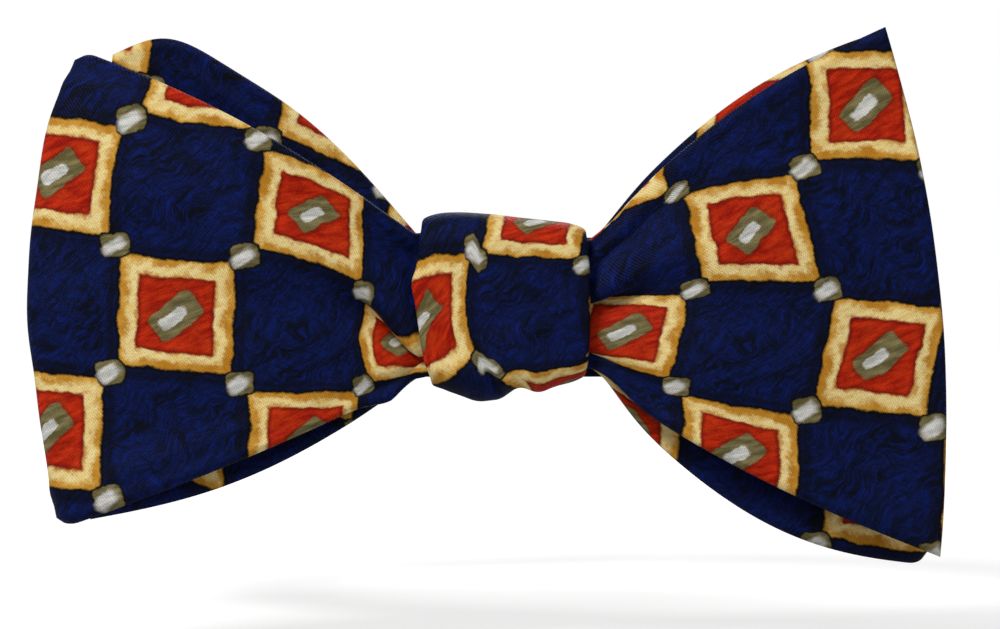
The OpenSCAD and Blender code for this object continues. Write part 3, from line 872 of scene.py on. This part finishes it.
def band_parts():
    """The silk of the neckband, and the canvas inside it."""
    middle = NECK_R + BAND_T / 2
    hinge = ("band_flap", HINGE_ANGLE + 5, HINGE_ANGLE - 5)
    tube = dict(width=2 * BAND_H, thickness=BAND_T, height=BAND_H, wall=SILK)
    canvas = dict(thickness=CORE_T, height=BAND_H - 0.9)
    left = loop_path(middle, FOLD_R + BAND_T / 2, HOOK_ANGLE, 269.9, HOOK_ANGLE + 9)
    left_band = strip("left_band_cloth", left, ["left_band_silk", "flap_silk"], "hook",
                      bend=hinge, **tube)
    core = polar(middle, np.linspace(268.8, HOOK_ANGLE + 13, 80))
    strip("left_band_canvas", core, ["left_band_interlining", "flap_interlining"], left_band,
          bend=hinge, **canvas)
    right = polar(middle, np.linspace(-89.9, BAND_END - 360, 90))
    right_band = strip("right_band_cloth", right, ["right_band_silk"], "right_strap_cloth",
                       print_start=(0.3, 0), **tube)
    core = polar(middle, np.linspace(-89, BAND_END - 361, 60))
    strip("right_band_canvas", core, ["right_band_interlining"], right_band, **canvas)
    strap = loop_path(STRAP_R + BAND_T / 2, TAIL_R + BAND_T / 2, EYE_ANGLE, STRAP_START - 360,
                      EYE_ANGLE - 5)
    strip("right_strap_cloth", strap, ["right_strap"], "eye_ring", thickness=BAND_T,
          height=BAND_H, print_start=(0.1, 0.5))


def tail():
    """The strap's folded-back tail, hemmed round the slide's middle bar."""
    middle, hem_r = TAIL_R + BAND_T / 2, 0.92
    out = polar(1, np.array([SLIDE_ANGLE]))[0]
    side = np.array([out[1], -out[0]])
    body = polar(middle, np.linspace(EYE_ANGLE - 5.1, SLIDE_ANGLE + 2.2, 60))
    around = [
        out * (middle + hem_r * math.cos(a)) + side * hem_r * math.sin(a)
        for a in np.linspace(0, math.pi * 1.15, 22)
    ]
    strip("tail_cloth", np.concatenate([body, around]), ["band_tail"], "slide_buckle",
          bend=("band_slide", EYE_ANGLE - 6, SLIDE_ANGLE + 6), thickness=0.62, height=BAND_H,
          print_start=(0.2, 0.5), soft=0.3)


def bar_tack(name, node, body, r, degrees):
    """A dense row of satin stitches across a strap."""
    stitches, ring, steps = 34, 8, 9
    half_w, rise = 1.1, 0.22
    out = polar(1, np.array([degrees]))[0]
    side = np.array([out[1], -out[0]])
    points, faces, uv = [], [], []
    for n in range(stitches):
        z = (n / (stitches - 1) - 0.5) * (BAND_H - 4)
        lean = 0.18 * (-1) ** n
        start = len(points)
        for i, t in enumerate(np.linspace(-1, 1, steps)):
            lift = rise * math.sqrt(max(0, 1 - t**4))
            centre = out * (r + lift - 0.05) + side * t * half_w
            for j in range(ring):
                a = 2 * math.pi * j / ring
                p = centre + out * 0.13 * math.cos(a)
                points.append((p[0], p[1], z + lean * t + 0.21 * math.sin(a)))
                uv.append((i / 20, j / ring + n))
        faces += quads(steps, ring, start, closed=True)
        faces.append(tuple(start + j for j in range(ring)))
        faces.append(tuple(start + (steps - 1) * ring + j for j in reversed(range(ring))))
    piece = make_mesh(name, points, faces, uv)
    dress(piece, body, "stitching", node)


def label():
    """The blank woven label on the left half of the band."""
    height, thickness = 12, 0.36
    r = NECK_R + BAND_T + GAP + 0.2
    path = polar(r, np.linspace(200, 222, 60))
    piece, length = ribbon("sewn_label", path, thickness, height, soft=thickness / 2)
    dress(piece, "neckband", "label_cloth", "blank_label")


# ---- Assembly ----

for leaf_name in LEAVES:
    make_leaf(leaf_name)
knot_layer("knot_wrap", "knot_face", 0, SILK, "printed_silk", KNOT_W)
knot_layer("knot_canvas", "knot_interlining", SILK + GAP, 0.9, "interlining", KNOT_W - 1)
knot_layer("knot_wrap_inside", "knot_backing", WRAP_T - SILK, SILK, "printed_silk", KNOT_W)
waist("front_waist_cloth", "front_waist", 4, 2.2, 0.4)
waist("middle_waist_cloth", "middle_waist", 0.6, 2, 1.7)
waist("back_waist_cloth", "back_waist", -2.8, 2, 2.9)
knot_stem()
band_parts()
tail()
label()
bar_tack("hook_stitches", "hook_tack", "band_flap", FOLD_R + BAND_T, HOOK_ANGLE + 6.5)
bar_tack("tail_stitches", "tail_tack", "band_slide", TAIL_R + BAND_T, SLIDE_ANGLE + 6)
bar_tack("strap_stitches", "strap_tack", "neckband", STRAP_R + BAND_T, STRAP_START - 357)
for metal_node in ("hook", "eye_ring", "slide_buckle"):
    carried = frame["nodes"][metal_node]
    carried.data.materials.clear()
    carried.data.materials.append(MATERIALS["clasp_metal"])


# ---- Light and camera ----


def soft_light(name, place, size, power):
    """A square area light that faces the knot."""
    data = bpy.data.lights.new(name, "AREA")
    data.size = size
    data.energy = power
    light = bpy.data.objects.new(name, data)
    bpy.context.collection.objects.link(light)
    light.location = place
    target = np.array([0, KNOT_Y * MM, 0])
    away = np.array(place) - target
    light.rotation_euler = look(away)


def look(away):
    """Rotation that turns an object's -Z axis against the direction away."""
    x, y, z = away
    return (math.atan2(math.hypot(x, y), z), 0, math.atan2(y, x) + math.pi / 2)


def light_room():
    """Even pale light from all round, a background that looks white, and three soft lights."""
    world = bpy.data.worlds.new("room")
    bpy.context.scene.world = world
    world.use_nodes = True
    tree = world.node_tree
    ambient = tree.nodes["Background"]
    ambient.inputs[0].default_value = (1, 1, 1, 1)
    ambient.inputs[1].default_value = 0.28
    seen = tree.nodes.new("ShaderNodeBackground")
    seen.inputs[1].default_value = 1.0
    seen.inputs[0].default_value = (1, 1, 1, 1)
    choose = tree.nodes.new("ShaderNodeMixShader")
    rays = tree.nodes.new("ShaderNodeLightPath")
    tree.links.new(rays.outputs["Is Camera Ray"], choose.inputs[0])
    tree.links.new(ambient.outputs[0], choose.inputs[1])
    tree.links.new(seen.outputs[0], choose.inputs[2])
    tree.links.new(choose.outputs[0], tree.nodes["World Output"].inputs[0])
    soft_light("key", (-0.34, -0.52, 0.5), 0.22, 4.0)
    soft_light("fill", (0.5, -0.6, 0.05), 0.5, 0.9)
    soft_light("back", (0.1, 0.6, 0.5), 0.5, 3)


def lay_floor():
    """A plain pale floor, low enough for the bow to turn without touching it."""
    reach, clearance = 4000, 11
    height = CAD_BOX[0][2] / MM - clearance
    places = np.linspace(-reach, reach, 9)
    x, y = np.meshgrid(places, places, indexing="ij")
    grid = np.stack([x, y, np.full_like(x, height)], axis=-1)
    floor = make_mesh("floor", grid.reshape(-1, 3), quads(9, 9, 0))
    k = Shader("pale_floor")
    place = k.node("ShaderNodeTexCoord").outputs["Object"]
    tone = k.spread(k.noise(place, 3, 3), 0.3, 0.7)
    away = k.node("ShaderNodeVectorMath", operation="LENGTH")
    k.put(away.inputs[0], place)
    # A glow that only the camera sees keeps the floor pale, more so further away.
    glow = k.spread(away.outputs["Value"], 0.3, 0.8, 0.6, 0.88)
    k.set(Base_Color=k.mix(tone, linear(186, 186, 186), linear(190, 190, 190)), Roughness=0.9,
          Specular_IOR_Level=0.0, Emission_Color=(1, 1, 1, 1),
          Emission_Strength=k.math("MULTIPLY", k.node("ShaderNodeLightPath").outputs[0], glow))
    floor.data.materials.append(k.material)


def place_camera():
    """A level camera in front of the knot."""
    data = bpy.data.cameras.new("camera")
    data.lens = 136.8
    data.sensor_width = 36
    camera = bpy.data.objects.new("camera", data)
    bpy.context.collection.objects.link(camera)
    camera.location = (-0.0004, (KNOT_Y - 7) * MM - 0.5, -0.001)
    camera.rotation_euler = (math.pi / 2, 0, 0)
    bpy.context.scene.camera = camera


light_room()
lay_floor()
place_camera()
scene = bpy.context.scene
scene.view_settings.view_transform = "Standard"
scene.view_settings.look = "None"
